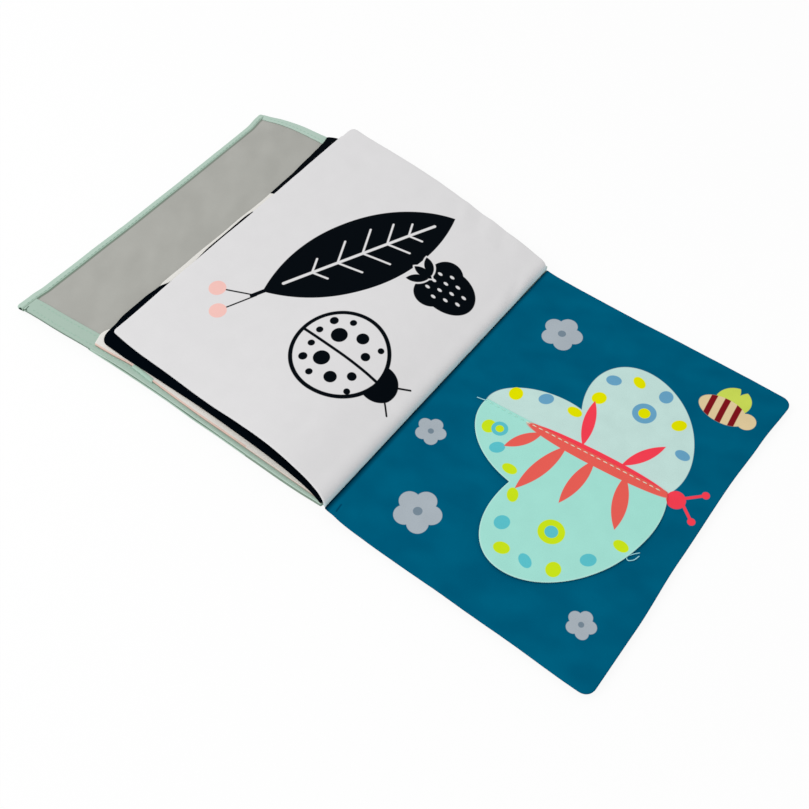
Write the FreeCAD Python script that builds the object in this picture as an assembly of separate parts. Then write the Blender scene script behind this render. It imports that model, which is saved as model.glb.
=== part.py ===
import FreeCAD, Part
import math
import os

# A soft cloth book that can stand as an easel, lying open in the middle.
# X runs across the book, Y along the sewn spine, Z up from the table.
# Every piece is drawn with the gutter at X = 0 and the near end of the spine
# at Y = 0, and is moved to the part's own frame when it is written.
# On the left lie, from the table up: the front cover, folded round to the back,
# the wide back cover with its mirror, and three leaves.  On the right lies one
# leaf with a lift-up flap.  Sizes are in millimetres.

Vec = FreeCAD.Vector

# Outlines
spine_length = 250.0
right_page_reach = 191.0
left_page_reach = 198.0
front_cover_reach = 207.0
back_cover_reach = 270.0
page_corner = 7.0
cover_corner = 3.0
sharp_corner = 2.5

# How far each left leaf's fore edge has slid along the spine
bottom_leaf_slide = 6.0
middle_leaf_slide = 10.0
top_leaf_slide = 20.0

# Cloth, film and board
cover_cloth = 0.5
cover_board = 0.8
board_play = 0.1
board_margin = 7.0
mirror_film = 0.3
border_cloth = 0.6
leaf_thickness = 1.5
right_page_thickness = 1.8
flap_cloth = 0.7
cover_edge_round = 0.4

# Clearances
hinge_gap = 0.35
lay_gap = 0.3
leaf_gap = 0.2

# The window that the border leaves over the mirror
border_near = 15.0
border_far = 11.0
border_fore = 8.0
border_spine = 15.0
film_tuck = 5.0

# The back cover steps down from the front cover to the table
step_start = 2.0
step_run = 18.0

# The left leaves swell between the spine seam and their flat part
seam_width = 6.0
swell_peak = 48.0
swell_end = 150.0
bottom_leaf_swell = 1.4
middle_leaf_swell = 3.4
top_leaf_swell = 5.6
shoulder_round = 4.0

# The right page drops from the gutter to the table over the spine binding
gutter_height = 3.3
gutter_run = 18.0
binding_width = 9.0
binding_play = 0.3

# The lift-up flap: its sewn edge, and a hind wing and a larger fore wing.
# Wing centres are along the sewn edge and out from it, towards the near end.
flap_seam_x = 31.0
flap_seam_y = 131.0
flap_seam_turn = 4.0
hind_wing_centre = (39.0, -2.0)
hind_wing_radii = (50.0, 43.0)
hind_wing_turn = 65.0
fore_wing_centre = (88.0, 42.5)
fore_wing_radii = (64.5, 42.0)
fore_wing_turn = 115.0
flap_play = 0.05

# Heights that follow from the sizes above
case_thickness = 2 * cover_cloth + 2 * board_play + cover_board
back_cover_bottom = case_thickness + lay_gap
film_bottom = back_cover_bottom + case_thickness
border_bottom = film_bottom + mirror_film
bottom_leaf_z = border_bottom + border_cloth + leaf_gap
middle_leaf_z = bottom_leaf_z + leaf_thickness + leaf_gap
top_leaf_z = middle_leaf_z + leaf_thickness + leaf_gap
stack_top = top_leaf_z + leaf_thickness

# A cutter that has to pass right through a piece is longer by this much,
# and one that has to pass through the whole book reaches this far up and down
overrun = 5.0
cutter_height = 50.0


def line(start, end):
    """A straight edge between two (x, z) points."""
    return Part.makeLine(Vec(start[0], 0, start[1]), Vec(end[0], 0, end[1]))


def s_bend(start, end):
    """Two equal arcs that leave (x, z) start level and reach end level."""
    run = end[0] - start[0]
    rise = end[1] - start[1]
    half_turn = math.atan2(abs(rise), abs(run))
    radius = (run * run + rise * rise) / (4 * abs(rise))
    along = math.copysign(radius * math.sin(half_turn), run)
    across = math.copysign(radius * (1 - math.cos(half_turn)), rise)
    middle = ((start[0] + end[0]) / 2, (start[1] + end[1]) / 2)
    first_mid = (start[0] + along, start[1] + across)
    second_mid = (end[0] - along, end[1] - across)
    return [
        arc(start, first_mid, middle),
        arc(middle, second_mid, end),
    ]


def arc(start, middle, end):
    """An arc through three (x, z) points."""
    points = [Vec(x, 0, z) for x, z in (start, middle, end)]
    return Part.Arc(*points).toShape()


def smooth(points):
    """A smooth curve pulled by (x, z) control points."""
    curve = Part.BSplineCurve()
    curve.buildFromPoles([Vec(x, 0, z) for x, z in points])
    return curve.toShape()


def band(path, thickness, near, length):
    """A sheet of even height whose underside follows the path, drawn out along Y."""
    lower = Part.Wire(path)
    upper = lower.translated(Vec(0, 0, thickness))
    ends = [lower.OrderedVertexes[0].Point, lower.OrderedVertexes[-1].Point]
    sides = [Part.makeLine(point, point + Vec(0, 0, thickness)) for point in ends]
    rim = Part.Wire(Part.__sortEdges__(lower.Edges + upper.Edges + sides))
    sheet = Part.Face(rim).extrude(Vec(0, length, 0))
    return sheet.translated(Vec(0, near, 0))


def outline(inner, reach, slide, corner):
    """A tall prism over a leaf's outline, its fore edge slid along the spine.

    inner and reach are signed: the leaf runs from X = inner to X = reach.
    """
    points = [
        Vec(inner, 0, 0),
        Vec(reach, slide, 0),
        Vec(reach, slide + spine_length, 0),
        Vec(inner, spine_length, 0),
        Vec(inner, 0, 0),
    ]
    tall = Part.Face(Part.makePolygon(points)).extrude(Vec(0, 0, 2 * cutter_height))
    fore = [
        edge
        for edge in tall.Edges
        if abs(edge.CenterOfMass.x - reach) < 0.01 and edge.BoundBox.ZLength > cutter_height
    ]
    return tall.makeFillet(corner, fore).translated(Vec(0, 0, -cutter_height))


def box(low, high):
    """A box between two corners."""
    size = [b - a for a, b in zip(low, high)]
    return Part.makeBox(*size, Vec(*low))


def one_solid(shape):
    """The single solid of a shape that a cut or common left in a compound."""
    return shape.removeSplitter().Solids[0]


def back_cover_path(height):
    """The back cover's side view at a height above its own underside."""
    top = back_cover_bottom + height
    step_x = -(front_cover_reach + step_start)
    table_x = step_x - step_run
    return [
        line((overrun, top), (step_x, top)),
        *s_bend((step_x, top), (table_x, height)),
        line((table_x, height), (-(back_cover_reach + overrun), height)),
    ]


def front_cover():
    """A flat cloth case, sewn round its rim and hollow for its board."""
    slab = box(
        (-(front_cover_reach + overrun), 0, 0),
        (overrun, spine_length, case_thickness),
    )
    case = slab.common(outline(-hinge_gap, -front_cover_reach, 0, cover_corner))
    case = one_solid(case)
    return soften_rim(case).cut(front_pocket())


def front_pocket():
    """The space that the front cover's board lies in."""
    return grown(front_cover_board(), board_play)


def front_cover_board():
    """The stiff sheet inside the front cover."""
    low = (-(front_cover_reach - board_margin), board_margin, cover_cloth + board_play)
    high = (-(hinge_gap + board_margin), spine_length - board_margin, low[2] + cover_board)
    return box(low, high)


def grown(sheet, play):
    """A box shape with play added on every side."""
    bounds = sheet.BoundBox
    low = (bounds.XMin - play, bounds.YMin - play, bounds.ZMin - play)
    high = (bounds.XMax + play, bounds.YMax + play, bounds.ZMax + play)
    return box(low, high)


def soften_rim(case):
    """Round the long top and bottom edges of a case a little."""
    rims = [edge for edge in case.Edges if edge.BoundBox.ZLength < 0.01]
    return case.makeFillet(cover_edge_round, rims)


def back_cover_board():
    """The stiff sheet in the page-sized part of the back cover."""
    z = back_cover_bottom + cover_cloth + board_play
    low = (-(front_cover_reach - board_margin), board_margin, z)
    high = (-(hinge_gap + board_margin), spine_length - board_margin, z + cover_board)
    return box(low, high)


def base_board():
    """The stiff sheet in the fold-out part that becomes the easel's base."""
    z = cover_cloth + board_play
    start = front_cover_reach + step_start + step_run
    low = (-(back_cover_reach - board_margin), board_margin, z)
    high = (-start, spine_length - board_margin, z + cover_board)
    return box(low, high)


def back_cover():
    """The wide cloth case, with one pocket for each of its two boards."""
    sheet = band(back_cover_path(0), case_thickness, 0, spine_length)
    case = sheet.common(outline(-hinge_gap, -back_cover_reach, 0, cover_corner))
    case = one_solid(case)
    for board in (back_cover_board(), base_board()):
        case = case.cut(grown(board, board_play))
    return case


def mirror_sheet():
    """The soft mirror film that lies on the back cover under its border."""
    near = border_near - film_tuck
    length = spine_length - near - (border_far - film_tuck)
    sheet = band(back_cover_path(case_thickness), mirror_film, near, length)
    fore = border_fore - film_tuck
    cut = box(
        (-(back_cover_reach - fore), -overrun, -overrun),
        (-(border_spine - film_tuck), spine_length + overrun, cutter_height),
    )
    return one_solid(sheet.common(cut))


def cover_border():
    """The cloth frame round the mirror, cut from one piece with a window."""
    height = case_thickness + mirror_film
    sheet = band(back_cover_path(height), border_cloth, 0, spine_length)
    frame = sheet.common(outline(-hinge_gap, -back_cover_reach, 0, cover_corner))
    window = box(
        (-(back_cover_reach - border_fore), border_near, -overrun),
        (-border_spine, spine_length - border_far, cutter_height),
    )
    return one_solid(frame.cut(window))


def leaf_path(z, swell):
    """The underside of a left leaf: flat, swollen towards the spine, then sewn flat."""
    spread = (swell_end - swell_peak) / 3
    crown = z + 1.3 * swell
    return [
        line((-(left_page_reach + overrun), z), (-swell_end, z)),
        smooth(
            [
                (-swell_end, z),
                (-(swell_end - spread), z),
                (-(swell_peak + spread), crown),
                (-swell_peak / 2, crown),
                (-(seam_width + spread / 3), z),
                (-seam_width, z),
            ]
        ),
        line((-seam_width, z), (overrun, z)),
    ]


def leaf(z, swell, slide, corner):
    """One left leaf, cut to its outline."""
    sheet = band(leaf_path(z, swell), leaf_thickness, -overrun, spine_length + slide + 2 * overrun)
    return one_solid(sheet.common(outline(-hinge_gap, -left_page_reach, slide, corner)))


def spine_seam():
    """Where the left leaves are pressed and sewn together, with a rounded shoulder."""
    block = box(
        (-seam_width, 0, bottom_leaf_z),
        (-hinge_gap, spine_length, stack_top),
    )
    shoulder = [
        edge
        for edge in block.Edges
        if edge.CenterOfMass.z > stack_top - 0.01
        and abs(edge.CenterOfMass.x + hinge_gap) < 0.01
    ]
    return block.makeFillet(shoulder_round, shoulder)


def left_pages():
    """Three leaves, free at their fore edges and one solid at the spine seam."""
    leaves = [
        leaf(bottom_leaf_z, bottom_leaf_swell, bottom_leaf_slide, sharp_corner),
        leaf(middle_leaf_z, middle_leaf_swell, middle_leaf_slide, page_corner),
        leaf(top_leaf_z, top_leaf_swell, top_leaf_slide, sharp_corner),
    ]
    beyond = box(
        (-seam_width, -overrun, 0),
        (overrun, spine_length + 2 * overrun, 2 * stack_top),
    )
    free = [each.cut(beyond) for each in leaves]
    return one_solid(free[0].multiFuse([free[1], free[2], spine_seam()]))


def right_page_path():
    """The underside of the right page, from the gutter down to the table."""
    return [
        *s_bend((hinge_gap, gutter_height), (gutter_run, 0)),
        line((gutter_run, 0), (right_page_reach + overrun, 0)),
    ]


def right_page():
    """The right leaf, which drops over the spine binding and lies flat."""
    sheet = band(right_page_path(), right_page_thickness, 0, spine_length)
    return one_solid(sheet.common(outline(hinge_gap, right_page_reach, 0, page_corner)))


def spine_binding():
    """The folded tape that holds the sewn edges, in the wedge under the right page."""
    path = s_bend((hinge_gap, gutter_height - binding_play), (gutter_run, -binding_play))
    rim = [
        *path,
        line((gutter_run, -binding_play), (hinge_gap, -binding_play)),
        line((hinge_gap, -binding_play), (hinge_gap, gutter_height - binding_play)),
    ]
    face = Part.Face(Part.Wire(Part.__sortEdges__(rim)))
    wedge = face.extrude(Vec(0, spine_length, 0))
    keep = box((hinge_gap, 0, 0), (binding_width, spine_length, gutter_height))
    return one_solid(wedge.common(keep))


def wing(centre, radii, turn):
    """An elliptical wing in the flap's own plane."""
    ellipse = Part.Ellipse(Vec(0, 0, 0), radii[0], radii[1]).toShape()
    face = Part.Face(Part.Wire([ellipse]))
    face.rotate(Vec(0, 0, 0), Vec(0, 0, 1), turn)
    face.translate(Vec(centre[0], centre[1], 0))
    return face.extrude(Vec(0, 0, flap_cloth))


def page_flap():
    """Two rounded wings in one cloth, sewn to the right page along their straight edge."""
    fore = wing(fore_wing_centre, fore_wing_radii, fore_wing_turn)
    hind = wing(hind_wing_centre, hind_wing_radii, hind_wing_turn)
    wings = fore.fuse(hind).removeSplitter()
    reach = wings.BoundBox
    past_seam = box(
        (reach.XMin - overrun, reach.YMin - overrun, -overrun),
        (reach.XMax + overrun, 0, overrun),
    )
    flap = one_solid(wings.cut(past_seam))
    # The wings are drawn on the far side of the seam and turned over to the near side
    flap.rotate(Vec(0, 0, flap_cloth / 2), Vec(1, 0, 0), 180)
    flap.rotate(Vec(0, 0, 0), Vec(0, 0, 1), flap_seam_turn)
    flap.translate(Vec(flap_seam_x, flap_seam_y, right_page_thickness + flap_play))
    return flap


pieces = {
    "front_cover": front_cover(),
    "front_cover_board": front_cover_board(),
    "back_cover": back_cover(),
    "back_cover_board": back_cover_board(),
    "base_board": base_board(),
    "mirror_sheet": mirror_sheet(),
    "cover_border": cover_border(),
    "left_pages": left_pages(),
    "right_page": right_page(),
    "spine_binding": spine_binding(),
    "page_flap": page_flap(),
}

# The part's own frame has its origin on the table under the middle of the open book
whole = Part.makeCompound(list(pieces.values())).BoundBox
frame_shift = Vec(-whole.Center.x, -whole.Center.y, -whole.ZMin)
print(f"gutter at X {frame_shift.x:.3f}, near end of the spine at Y {frame_shift.y:.3f}")

os.makedirs("parts", exist_ok=True)
for name, shape in pieces.items():
    shape.translated(frame_shift).exportStep(f"parts/{name}.step")
    print(f"{name}: {len(shape.Solids)} solid, {shape.Volume / 1000:.1f} cm3")
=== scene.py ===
# %% [markdown]
# # A soft cloth book, lying open
# The book was sewn from printed cloth.  On the left lie, from the table up, the front cover
# (folded right round to the back), the wide back cover with its mirror film, and three leaves.  On
# the right lies one blue leaf with a lift-up flap.  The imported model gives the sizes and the
# hinges, and this file dresses it in cloth.

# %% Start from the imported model
import bmesh
import bpy
import math
import numpy as np
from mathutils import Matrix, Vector, noise
from mathutils.geometry import delaunay_2d_cdt


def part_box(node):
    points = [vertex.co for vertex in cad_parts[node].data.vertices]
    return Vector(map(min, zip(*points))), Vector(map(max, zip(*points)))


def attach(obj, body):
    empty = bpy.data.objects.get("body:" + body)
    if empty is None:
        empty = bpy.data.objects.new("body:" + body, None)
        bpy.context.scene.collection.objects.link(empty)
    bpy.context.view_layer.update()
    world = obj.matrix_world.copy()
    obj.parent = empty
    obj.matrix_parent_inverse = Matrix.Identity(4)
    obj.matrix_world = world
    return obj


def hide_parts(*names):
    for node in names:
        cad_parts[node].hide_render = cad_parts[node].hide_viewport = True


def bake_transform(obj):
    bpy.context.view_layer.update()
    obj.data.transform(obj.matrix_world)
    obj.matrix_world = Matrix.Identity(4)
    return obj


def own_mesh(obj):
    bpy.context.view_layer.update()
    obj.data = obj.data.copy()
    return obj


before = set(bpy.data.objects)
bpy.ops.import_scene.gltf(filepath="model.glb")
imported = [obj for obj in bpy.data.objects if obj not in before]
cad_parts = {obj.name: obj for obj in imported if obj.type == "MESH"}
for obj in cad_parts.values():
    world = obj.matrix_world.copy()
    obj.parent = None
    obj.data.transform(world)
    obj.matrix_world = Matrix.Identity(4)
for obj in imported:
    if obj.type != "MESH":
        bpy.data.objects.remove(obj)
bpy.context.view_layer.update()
mm = 0.001
page_low, page_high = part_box("right_page")
gutter_x = (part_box("left_pages")[1].x + page_low.x) / 2
spine_near_y = page_low.y
spine_length = (page_high.y - page_low.y) / mm
print(f"gutter at X {gutter_x:.4f} m, the spine is {spine_length:.0f} mm long")

# %% [markdown]
# ## Measuring from the spine
# Everything in a book is measured from its spine, so each place here is given in millimetres: X
# from the gutter (minus is left), Y from the near end of the spine, and Z up from the table.  One
# function turns such places into the metres of the model.

# %% Book millimetres to model metres
def to_model(places):
    """Turn places in book millimetres into model metres."""
    shift = np.array((gutter_x, spine_near_y, 0.0))
    return np.asarray(places, float) * mm + shift


print("gutter, 10 mm up:", to_model((0, 0, 10)))

# %% [markdown]
# ## Camera
# A book on a table is usually looked at from above one corner.  A camera is placed by what it
# looks at, the way round, the height and the distance, because that is how a view is found.

# %% Camera above the near right corner
look_at = Vector(to_model((-9.84, 95.83, 0)))
camera_turn = math.radians(36.84)
camera_height = math.radians(53.98)
camera_roll = math.radians(0.64)
camera_distance = 0.7707
towards_eye = Vector((
    math.sin(camera_turn) * math.cos(camera_height),
    -math.cos(camera_turn) * math.cos(camera_height),
    math.sin(camera_height),
))


def put_in_scene(name, data):
    """Make an object of a mesh, a camera or a lamp, and put it in the scene."""
    made = bpy.data.objects.new(name, data)
    bpy.context.scene.collection.objects.link(made)
    return made


camera = put_in_scene("camera", bpy.data.cameras.new("camera"))
bpy.context.scene.camera = camera
camera.data.sensor_width = 36
camera.data.lens = 52.78
camera.data.clip_end = 20
camera.location = look_at + towards_eye * camera_distance
aim = (-towards_eye).to_track_quat("-Z", "Y").to_matrix()
camera.rotation_euler = (aim @ aim.Rotation(camera_roll, 3, "Z")).to_euler()
print("camera at", [round(x, 4) for x in camera.location])

# %% [markdown]
# ## Table and light
# The book lies on a plain pale table in soft studio light.  The table is set just under the lowest
# place that the front cover reaches when it swings round, so it is never cut by it.  To the camera
# most of the table's colour is its own white, and the rest shows the book's soft shadow.  One
# large lamp at the near left gives the cloth its shape, and an even sky fills in the rest.  Every
# material here is a small tree of nodes, so a helper class adds and links them, one line for each
# node.

# %% Colours as they are mixed on a screen
def screen_colour(red, green, blue):
    """A colour given as on a screen, 0 to 255, as the linear colour that a shader needs."""
    def linear(level):
        share = level / 255
        return share / 12.92 if share <= 0.04045 else ((share + 0.055) / 1.055) ** 2.4
    return (linear(red), linear(green), linear(blue), 1.0)


print("mid grey is", round(screen_colour(128, 128, 128)[0], 3))

# %% A tree of nodes
class Shading:
    """A new material or world, put together from nodes."""

    def __init__(self, owner, ending="ShaderNodeOutputMaterial"):
        owner.use_nodes = True
        self.owner = owner
        self.nodes, self.links = owner.node_tree.nodes, owner.node_tree.links
        self.nodes.clear()
        self.output = self.nodes.new(ending)

    def feed(self, node, inputs):
        """Give a node's inputs values, or link them. inputs is a row in their order, or a dict."""
        named = inputs if isinstance(inputs, dict) else dict(enumerate(inputs))
        for socket, value in named.items():
            if isinstance(value, bpy.types.NodeSocket):
                self.links.new(value, node.inputs[socket])
            else:
                node.inputs[socket].default_value = value

    def add(self, kind, inputs=(), **settings):
        """Add a node of one kind, with its settings and its inputs."""
        node = self.nodes.new(kind)
        for setting, value in settings.items():
            setattr(node, setting, value)
        self.feed(node, inputs)
        return node

    def number(self, operation, *values):
        """One step of arithmetic on numbers."""
        return self.add("ShaderNodeMath", values, operation=operation).outputs[0]

    def mix(self, first, second, share, blend="MIX"):
        """Two colours, mixed or multiplied by a share."""
        inputs = {0: share, 6: first, 7: second}
        return self.add("ShaderNodeMix", inputs, data_type="RGBA", blend_type=blend).outputs[2]

    def bump(self, height, strength, distance, under=(0, 0, 0)):
        """Turn a height into a bump, over another bump if there is one."""
        reach = distance * mm
        inputs = {"Height": height, "Strength": strength, "Distance": reach, "Normal": under}
        return self.add("ShaderNodeBump", inputs).outputs[0]

    def for_the_eye(self, share, lit, seen):
        """Mix two shaders: the camera and reflections see a share of seen, all else gets lit."""
        path = self.add("ShaderNodeLightPath").outputs
        looked_at = path["Is Camera Ray"]
        for ray in ("Is Glossy Ray", "Is Transmission Ray"):
            looked_at = self.number("MAXIMUM", looked_at, path[ray])
        factor = self.number("MULTIPLY", looked_at, share)
        return self.add("ShaderNodeMixShader", (factor, lit.outputs[0], seen.outputs[0]))

    def end(self, shader):
        """Link the last shader to the output, and hand over what was made."""
        self.links.new(shader.outputs[0], self.output.inputs["Surface"])
        return self.owner


# %% The table
table_height = -0.0026
table_size = 6.0
white_table = Shading(bpy.data.materials.new("pale_table"))
table_paint = white_table.add("ShaderNodeBsdfDiffuse", {"Color": (0.96, 0.96, 0.96, 1)})
own_white = white_table.add("ShaderNodeEmission")
corners = [(-1, -1), (1, -1), (1, 1), (-1, 1)]
table_places = [(x * table_size / 2, y * table_size / 2, table_height) for x, y in corners]
table_mesh = bpy.data.meshes.new("table")
table_mesh.from_pydata(table_places, [], [(0, 1, 2, 3)])
table_mesh.materials.append(white_table.end(white_table.for_the_eye(0.9, table_paint, own_white)))
table = put_in_scene("table", table_mesh)
print(f"table at {table_height / mm:.1f} mm")

# %% The sky and the lamp
sky_strength = 0.74
lamp_power = 6.5
sky = Shading(bpy.data.worlds.new("studio"), "ShaderNodeOutputWorld")
even_light = sky.add("ShaderNodeBackground", {"Color": (1, 1, 1, 1), "Strength": sky_strength})
backdrop = sky.add("ShaderNodeBackground")
bpy.context.scene.world = sky.end(sky.for_the_eye(1.0, even_light, backdrop))

lamp = put_in_scene("softbox", bpy.data.lights.new("softbox", "AREA"))
lamp.data.shape = "RECTANGLE"
lamp.data.size = 1.0
lamp.data.size_y = 0.8
lamp.data.energy = lamp_power
lamp.location = (-0.72, -0.66, 1.03)
lamp.rotation_euler = (look_at - lamp.location).to_track_quat("-Z", "Y").to_euler()
bpy.context.scene.view_settings.view_transform = "Standard"
print("lamp", lamp_power, "W, sky", sky_strength)

# %% [markdown]
# ## Woven cloth, ready for printing
# Every piece of the book is a plain cotton weave, printed in flat colours.  A printer lays one ink
# after another on the cloth, so the material is made the same way: a class starts with the bare
# cloth, and each ink is mixed over it where a shape lets it through.  The shapes are worked out
# from the page's own millimetres, which every piece carries as its UV map, so the print stays
# sharp and bends with the cloth.  The weave and the slight unevenness of dyed cotton come from the
# same map.

# %% Cloth that can be printed on
class Cloth(Shading):
    """A woven cloth material whose inks are laid on one by one, in page millimetres."""

    def __init__(self, name, ground, unevenness=0.05, weave=0.12, gloss=0.05, bands=()):
        super().__init__(bpy.data.materials.new(name))
        self.shader = self.add("ShaderNodeBsdfPrincipled", {
            "Roughness": 0.88,
            "Specular IOR Level": gloss,
            "Sheen Weight": gloss * 0.4,
            "Sheen Roughness": 0.5,
        })
        self.page = self.vector("MULTIPLY", self.add("ShaderNodeUVMap").outputs[0], (1 / mm,) * 3)
        self.unevenness, self.weave = unevenness, weave
        self.colour = screen_colour(*ground)
        for colour, centre, size in bands:
            self.ink(colour, self.box_shape(centre, size))

    def ink(self, colour, *masks):
        """Lay one ink on the cloth, where any of the masks lets it through."""
        self.colour = self.mix(self.colour, screen_colour(*colour), self.either(*masks))

    def either(self, *masks):
        """Where any of the shapes is."""
        whole = masks[0]
        for mask in masks[1:]:
            whole = self.number("MAXIMUM", whole, mask)
        return whole

    def vector(self, operation, first, second=(0, 0, 0)):
        """One step of arithmetic on places."""
        node = self.add("ShaderNodeVectorMath", (first, second), operation=operation)
        return node.outputs["Value" if operation == "LENGTH" else "Vector"]

    def split(self, place):
        """The X, Y and Z of a place."""
        return self.add("ShaderNodeSeparateXYZ", (place,)).outputs

    def local(self, centre, turn=0.0, size=(1, 1)):
        """The page seen from a shape's own centre, turned with it, in units of its size."""
        inputs = (self.page, (*centre, 0), (0, 0, math.radians(turn)), (*size, 1))
        return self.add("ShaderNodeMapping", inputs, vector_type="TEXTURE").outputs[0]

    def within(self, distance, limit, edge=0.2):
        """1 where a distance is under a limit, 0 past it, with a narrow soft edge."""
        return self.add("ShaderNodeMapRange", (distance, limit + edge, limit - edge)).outputs[0]

    def ellipse(self, centre, radii, turn=0.0):
        """An ellipse with its centre, its two radii and its turn in degrees."""
        reach = self.vector("LENGTH", self.local(centre, turn, radii))
        return self.within(reach, 1.0, 0.2 / min(radii))

    def disc(self, centre, radius):
        """A round spot."""
        return self.ellipse(centre, (radius, radius))

    def stroke(self, start, end, width):
        """A straight brush stroke with round ends."""
        run = (end[0] - start[0], end[1] - start[1])
        seen = self.local(start, math.degrees(math.atan2(run[1], run[0])))
        nearest = self.vector("MINIMUM", self.vector("MAXIMUM", seen), (math.hypot(*run), 0, 0))
        away = self.vector("LENGTH", self.vector("SUBTRACT", seen, nearest))
        return self.within(away, width / 2)

    def side(self, place, turn, edge=0.2):
        """All on one side of a line through a place: the side that turn points away from."""
        return self.within(self.split(self.local(place, turn))[0], 0.0, edge)

    def box_shape(self, centre, size, turn=0.0):
        """A rectangle with its centre, its size and its turn in degrees."""
        away = self.vector("ABSOLUTE", self.local(centre, turn, (size[0] / 2, size[1] / 2)))
        parts = [self.within(part, 1.0, 0.4 / span) for part, span in zip(self.split(away), size)]
        return self.number("MINIMUM", *parts)

    def petal(self, centre, length, width, turn=0.0):
        """A leaf or petal with two pointed ends, where two large discs overlap."""
        half_length, half_width = length / 2, width / 2
        radius = (half_length**2 + half_width**2) / (2 * half_width)
        across = math.radians(turn + 90)
        shift = Vector((math.cos(across), math.sin(across))) * (radius - half_width)
        discs = [self.disc(Vector(centre) + shift * way, radius) for way in (1, -1)]
        return self.number("MINIMUM", *discs)

    def noise(self, size, detail=2.0, place=None):
        """Soft noise with features of a size in millimetres, from 0 to 1."""
        where = self.page if place is None else place
        inputs = {"Vector": where, "Scale": 1 / size, "Detail": detail}
        return self.add("ShaderNodeTexNoise", inputs).outputs[0]

    def streaks(self, size, squeeze, turn):
        """Soft noise drawn out along one direction, from 0 to 1."""
        drawn_out = self.local((0, 0), turn, (1, squeeze))
        return self.within(self.noise(size, 1.0, drawn_out), 0.5, -0.15)

    def threads(self, pitch):
        """Warp and weft: a small checked relief with one thread every pitch millimetres."""
        turn = 2 * math.pi / pitch
        turns = [self.number("MULTIPLY", part, turn) for part in self.split(self.page)[:2]]
        return self.number("MULTIPLY", *[self.number("SINE", angle) for angle in turns])

    def finish(self, wrinkle=0.25):
        """Dye the colour a little unevenly, add the weave and small wrinkles, and hand it over."""
        tone = 1.0
        for size in (14, 0.7):
            swing = self.number("SUBTRACT", self.noise(size), 0.5)
            tone = self.number("MULTIPLY_ADD", swing, self.unevenness, tone)
        wrinkles = self.bump(self.noise(9, 3.0), wrinkle, 0.5)
        relief = self.bump(self.threads(0.45), self.weave, 0.04, wrinkles)
        dyed = self.mix(self.colour, tone, 1.0, "MULTIPLY")
        self.feed(self.shader, {"Base Color": dyed, "Normal": relief})
        return self.end(self.shader)


plain_mint = Cloth("mint_cotton", (169, 191, 178)).finish()
print("cloth:", plain_mint.name, len(plain_mint.node_tree.nodes), "nodes")

# %% [markdown]
# ## The shape of a leaf
# A cloth leaf is flat, but it lies over what is under it: it rises over the thick spine seam and
# then falls to its fore edge.  So a leaf is drawn by two curves only, its near edge and its far
# edge, with straight threads between them.  A surface patch in Blender would do this too, but a
# short function leaves every point's page place known, which the print, the stitches and the film
# need.

# %% A smooth curve through a few points
def curve_through(points, shares):
    """Places at given shares of the length of a smooth curve through a few (x, y, z) points.

    Past its ends the curve goes straight on.
    """
    points = np.array(points, float)
    chords = np.linalg.norm(np.diff(points, axis=0), axis=1)
    stations = np.concatenate(([0], np.cumsum(chords)))
    slopes = np.gradient(points, stations, axis=0)
    fine = np.linspace(0, stations[-1], 900)
    span = np.clip(np.searchsorted(stations, fine, side="right") - 1, 0, len(chords) - 1)
    step = chords[span][:, None]
    t = (fine[:, None] - stations[span][:, None]) / step
    line = (
        (1 + 2 * t) * (1 - t) ** 2 * points[span]
        + t * (1 - t) ** 2 * step * slopes[span]
        + t**2 * (3 - 2 * t) * points[span + 1]
        + t**2 * (t - 1) * step * slopes[span + 1]
    )
    run = np.concatenate(([0], np.cumsum(np.linalg.norm(np.diff(line, axis=0), axis=1))))
    wanted = np.asarray(shares) * run[-1]
    places = np.stack([np.interp(wanted, run, line[:, axis]) for axis in range(3)], axis=-1)
    for end, beyond in ((0, np.minimum(wanted, 0)), (-1, np.maximum(wanted - run[-1], 0))):
        ahead = line[1] - line[0] if end == 0 else line[-1] - line[-2]
        places += beyond[..., None] * ahead / np.linalg.norm(ahead)
    return places


print("half way along a test curve:", curve_through([(0, 0, 0), (5, 0, 2), (10, 0, 0)], 0.5))

# %% A leaf's surface from its near and far edges
class Surface:
    """The middle of a sheet. Page places are millimetres out from the spine and along it."""

    def __init__(self, near_edge, far_edge, reach, fore_shifts=((0, 0),), wave=None):
        self.near_edge, self.far_edge = near_edge, far_edge
        self.reach, self.length = reach, spine_length
        self.fore_shifts, self.wave = np.array(fore_shifts, float), wave

    def fore_shift(self, along):
        """How far the fore edge stands off a straight line, in easy waves between a few places."""
        stations, shifts = self.fore_shifts.T
        number = np.clip(np.searchsorted(stations, along) - 1, 0, max(len(stations) - 2, 0))
        after = np.minimum(number + 1, len(stations) - 1)
        gap = np.maximum(stations[after] - stations[number], 1e-6)
        ease = 0.5 - 0.5 * np.cos(math.pi * np.clip((along - stations[number]) / gap, 0, 1))
        return shifts[number] + (shifts[after] - shifts[number]) * ease

    def place(self, out, along):
        """The place of page points, before anything is lifted off the surface."""
        share_out, share_along = out / self.reach, along / self.length
        near = curve_through(self.near_edge, share_out)
        far = curve_through(self.far_edge, share_out)
        spot = near + (far - near) * share_along[..., None]
        spot[..., 0] += self.fore_shift(along) * np.clip(share_out, 0, 1) ** 3
        if self.wave is not None:
            spot[..., 2] += self.wave(out, along)
        return spot

    def lifted(self, out, along, lift=0.0):
        """Page points moved off the surface, straight up from it by lift millimetres."""
        nudge = 0.5
        step_out = np.where(out > self.reach / 2, -nudge, nudge)
        step_along = np.where(along > self.length / 2, -nudge, nudge)
        here = self.place(out, along)
        slope_out = (self.place(out + step_out, along) - here) / step_out[..., None]
        slope_along = (self.place(out, along + step_along) - here) / step_along[..., None]
        normal = np.cross(slope_out, slope_along)
        normal /= np.linalg.norm(normal, axis=-1, keepdims=True)
        normal *= np.sign(normal[..., 2:3])
        return here + normal * np.asarray(lift)[..., None]


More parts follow.
